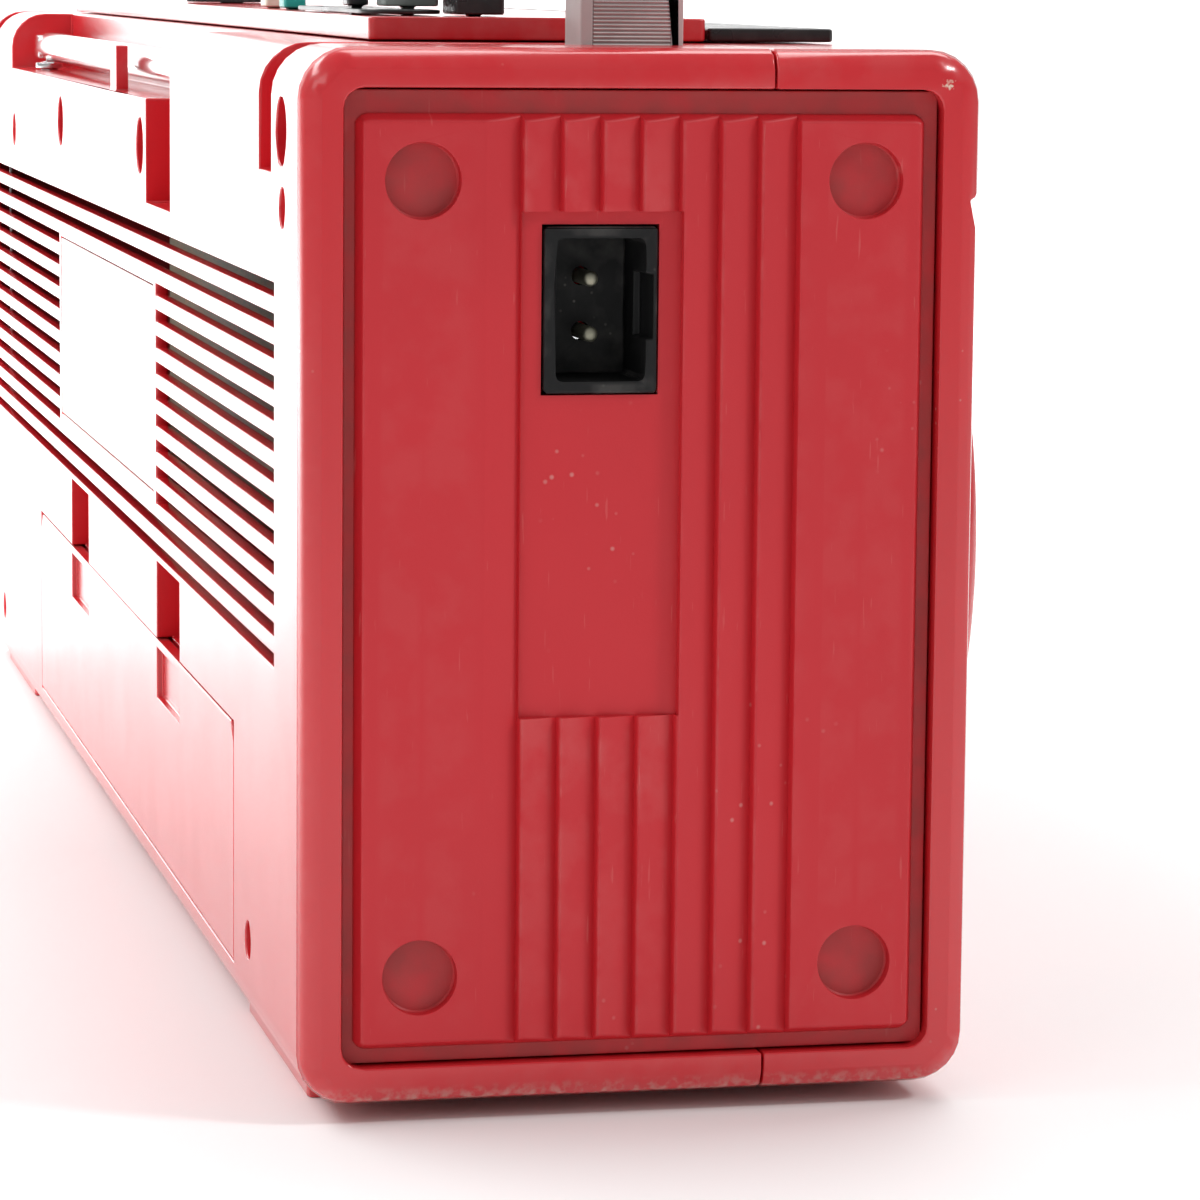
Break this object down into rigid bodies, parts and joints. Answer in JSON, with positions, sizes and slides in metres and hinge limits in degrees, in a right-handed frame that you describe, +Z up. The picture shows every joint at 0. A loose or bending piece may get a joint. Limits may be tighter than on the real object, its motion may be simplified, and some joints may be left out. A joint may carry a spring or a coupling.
{
  "type": "portable radio cassette player",
  "caption": "Portable radio cassette player with folding handle, telescopic antenna, cassette door, tape keys and battery compartment.",
  "frame": {"origin": "on the surface it stands on, under the middle of the whole object's box", "axes": "+X along the case away from the mains inlet, +Y towards the rear face, +Z up; the speakers and the cassette door face -Y"},
  "size_m": [0.534, 0.112, 0.2344],
  "materials": {
    "red_case": "moulded red plastic, glossy on the shells and finely grained on the end panels",
    "black_plastic": "black moulded plastic",
    "grey_plastic": "warm grey moulded plastic, satin",
    "green_grey_plastic": "grey-green moulded plastic",
    "teal_plastic": "teal moulded plastic",
    "cream_plastic": "cream moulded plastic",
    "chrome": "polished chrome plating",
    "steel": "zinc-plated steel",
    "brass": "tarnished brass",
    "rubber": "black rubber and pulp cone",
    "white_label": "blank white film label",
    "clear_window": "clear smoked plastic",
    "circuit_board": "phenolic board with components",
    "orange_pointer": "orange plastic pointer"
  },
  "bodies": {
    "case": {"speaker_grille_left": "red_case", "speaker_grille_right": "red_case", "rear_shell": "red_case", "front_shell": "red_case", "left_end_panel": "red_case", "right_end_panel": "red_case", "top_deck": "red_case", "foot_rear_left": "red_case", "foot_rear_right": "red_case", "foot_front_left": "red_case", "foot_front_right": "red_case", "ac_inlet": "black_plastic", "control_plate": "black_plastic", "key_strip": "black_plastic", "antenna_post": "chrome", "case_screw_1": "steel", "case_screw_2": "steel", "case_screw_3": "steel", "case_screw_4": "steel", "mechanism_chassis": "steel", "motor": "steel", "transformer": "steel", "ac_pin_upper": "brass", "ac_pin_lower": "brass", "drive_belt": "rubber", "speaker_left": "rubber", "speaker_right": "rubber", "rating_plate": "white_label", "dial_window": "clear_window", "circuit_board": "circuit_board"},
    "handle": {"handle_left_arm": "grey_plastic", "handle_right_arm": "grey_plastic", "handle_grip": "grey_plastic"},
    "antenna_tube": {"antenna_tube": "chrome"},
    "antenna_middle": {"antenna_middle": "chrome"},
    "antenna_tip": {"antenna_tip": "chrome"},
    "battery_cover": {"battery_cover": "red_case"},
    "cassette_door": {"cassette_door": "red_case", "door_window": "clear_window", "cassette_carrier": "grey_plastic"},
    "volume_knob": {"volume_knob": "black_plastic"},
    "tuning_knob": {"tuning_knob": "black_plastic"},
    "dial_pointer": {"dial_pointer": "orange_pointer"},
    "function_switch": {"function_switch_knob": "black_plastic"},
    "tone_slider": {"tone_slider_knob": "green_grey_plastic"},
    "balance_slider": {"balance_slider_knob": "black_plastic"},
    "band_switch": {"band_switch_knob": "teal_plastic"},
    "stereo_switch": {"stereo_switch_knob": "cream_plastic"},
    "flywheel": {"flywheel": "steel"},
    "motor_pulley": {"motor_pulley": "brass"},
    "reel_spindle_left": {"reel_spindle_left": "cream_plastic"},
    "reel_spindle_right": {"reel_spindle_right": "cream_plastic"},
    "head_plate": {"head_plate": "steel"},
    "pinch_roller": {"pinch_roller": "rubber"},
    "record_key": {"record_key": "grey_plastic"},
    "play_key": {"play_key": "grey_plastic"},
    "rewind_key": {"rewind_key": "grey_plastic"},
    "forward_key": {"forward_key": "grey_plastic"},
    "stop_key": {"stop_key": "grey_plastic"},
    "pause_key": {"pause_key": "grey_plastic"}
  },
  "joints": [
    {"name": "handle_fold", "type": "hinge", "parent": "case", "child": "handle", "pos_m": [0, -0.0018, 0.156], "axis": [-1, 0, 0], "range_deg": [0, 90]},
    {"name": "antenna_tilt", "type": "hinge", "parent": "case", "child": "antenna_tube", "pos_m": [0.165, 0.049, 0.1585], "axis": [0, 1, 0], "range_deg": [0, 90]},
    {"name": "antenna_middle_slide", "type": "slide", "parent": "antenna_tube", "child": "antenna_middle", "axis": [-1, 0, 0], "range_m": [0, 0.19]},
    {"name": "antenna_tip_slide", "type": "slide", "parent": "antenna_middle", "child": "antenna_tip", "axis": [-1, 0, 0], "range_m": [0, 0.19]},
    {"name": "battery_cover_open", "type": "hinge", "parent": "case", "child": "battery_cover", "pos_m": [0, 0.0554, 0.0133], "axis": [-1, 0, 0], "range_deg": [0, 80]},
    {"name": "cassette_door_open", "type": "hinge", "parent": "case", "child": "cassette_door", "pos_m": [0, -0.05, 0.036], "axis": [1, 0, 0], "range_deg": [0, 35]},
    {"name": "record_key_press", "type": "slide", "parent": "case", "child": "record_key", "axis": [0, 0, -1], "range_m": [0, 0.003], "stiffness_N_per_m": 300},
    {"name": "play_key_press", "type": "slide", "parent": "case", "child": "play_key", "axis": [0, 0, -1], "range_m": [0, 0.003], "stiffness_N_per_m": 300},
    {"name": "rewind_key_press", "type": "slide", "parent": "case", "child": "rewind_key", "axis": [0, 0, -1], "range_m": [0, 0.003], "stiffness_N_per_m": 300},
    {"name": "forward_key_press", "type": "slide", "parent": "case", "child": "forward_key", "axis": [0, 0, -1], "range_m": [0, 0.003], "stiffness_N_per_m": 300},
    {"name": "stop_key_press", "type": "slide", "parent": "case", "child": "stop_key", "axis": [0, 0, -1], "range_m": [0, 0.003], "stiffness_N_per_m": 300},
    {"name": "pause_key_press", "type": "slide", "parent": "case", "child": "pause_key", "axis": [0, 0, -1], "range_m": [0, 0.003], "stiffness_N_per_m": 300},
    {"name": "head_plate_lift", "type": "slide", "parent": "case", "child": "head_plate", "axis": [0, 0, 1], "range_m": [0, 0.0055]},
    {"name": "volume_turn", "type": "hinge", "parent": "case", "child": "volume_knob", "pos_m": [0.033, 0.024, 0.17], "axis": [0, 0, 1], "range_deg": [-150, 150]},
    {"name": "tuning_turn", "type": "hinge", "parent": "case", "child": "tuning_knob", "pos_m": [0.185, -0.051, 0.1545], "axis": [0, -1, 0], "range_deg": [-540, 540]},
    {"name": "dial_pointer_slide", "type": "slide", "parent": "case", "child": "dial_pointer", "axis": [1, 0, 0], "range_m": [-0.142, 0.142]},
    {"name": "function_switch_slide", "type": "slide", "parent": "case", "child": "function_switch", "axis": [1, 0, 0], "range_m": [0, 0.012]},
    {"name": "tone_slide", "type": "slide", "parent": "case", "child": "tone_slider", "axis": [1, 0, 0], "range_m": [0, 0.04]},
    {"name": "balance_slide", "type": "slide", "parent": "case", "child": "balance_slider", "axis": [1, 0, 0], "range_m": [0, 0.04]},
    {"name": "band_switch_slide", "type": "slide", "parent": "case", "child": "band_switch", "axis": [1, 0, 0], "range_m": [0, 0.012]},
    {"name": "stereo_switch_slide", "type": "slide", "parent": "case", "child": "stereo_switch", "axis": [1, 0, 0], "range_m": [0, 0.012]},
    {"name": "flywheel_spin", "type": "hinge", "parent": "case", "child": "flywheel", "pos_m": [0.0285, -0.0238, 0.0465], "axis": [0, -1, 0], "continuous": true},
    {"name": "motor_spin", "type": "hinge", "parent": "case", "child": "motor_pulley", "pos_m": [-0.036, -0.0238, 0.05], "axis": [0, -1, 0], "continuous": true},
    {"name": "reel_spin_left", "type": "hinge", "parent": "case", "child": "reel_spindle_left", "pos_m": [-0.02125, -0.033, 0.0765], "axis": [0, -1, 0], "continuous": true},
    {"name": "reel_spin_right", "type": "hinge", "parent": "case", "child": "reel_spindle_right", "pos_m": [0.02125, -0.033, 0.0765], "axis": [0, -1, 0], "continuous": true},
    {"name": "pinch_roller_spin", "type": "hinge", "parent": "head_plate", "child": "pinch_roller", "pos_m": [0.0285, -0.0382, 0.0332], "axis": [0, -1, 0], "continuous": true}
  ],
  "couplings": [
    {"joint": "antenna_middle_slide", "follows": "antenna_tilt", "m_per_rad": 0.12},
    {"joint": "antenna_tip_slide", "follows": "antenna_tilt", "m_per_rad": 0.12},
    {"joint": "head_plate_lift", "follows": "play_key_press", "ratio": 1.6667},
    {"joint": "dial_pointer_slide", "follows": "tuning_turn", "m_per_rad": -0.0149},
    {"joint": "motor_spin", "follows": "flywheel_spin", "ratio": 5.186},
    {"joint": "reel_spin_left", "follows": "flywheel_spin", "ratio": 0.25},
    {"joint": "reel_spin_right", "follows": "flywheel_spin", "ratio": 0.25},
    {"joint": "pinch_roller_spin", "follows": "flywheel_spin", "ratio": -0.2}
  ]
}
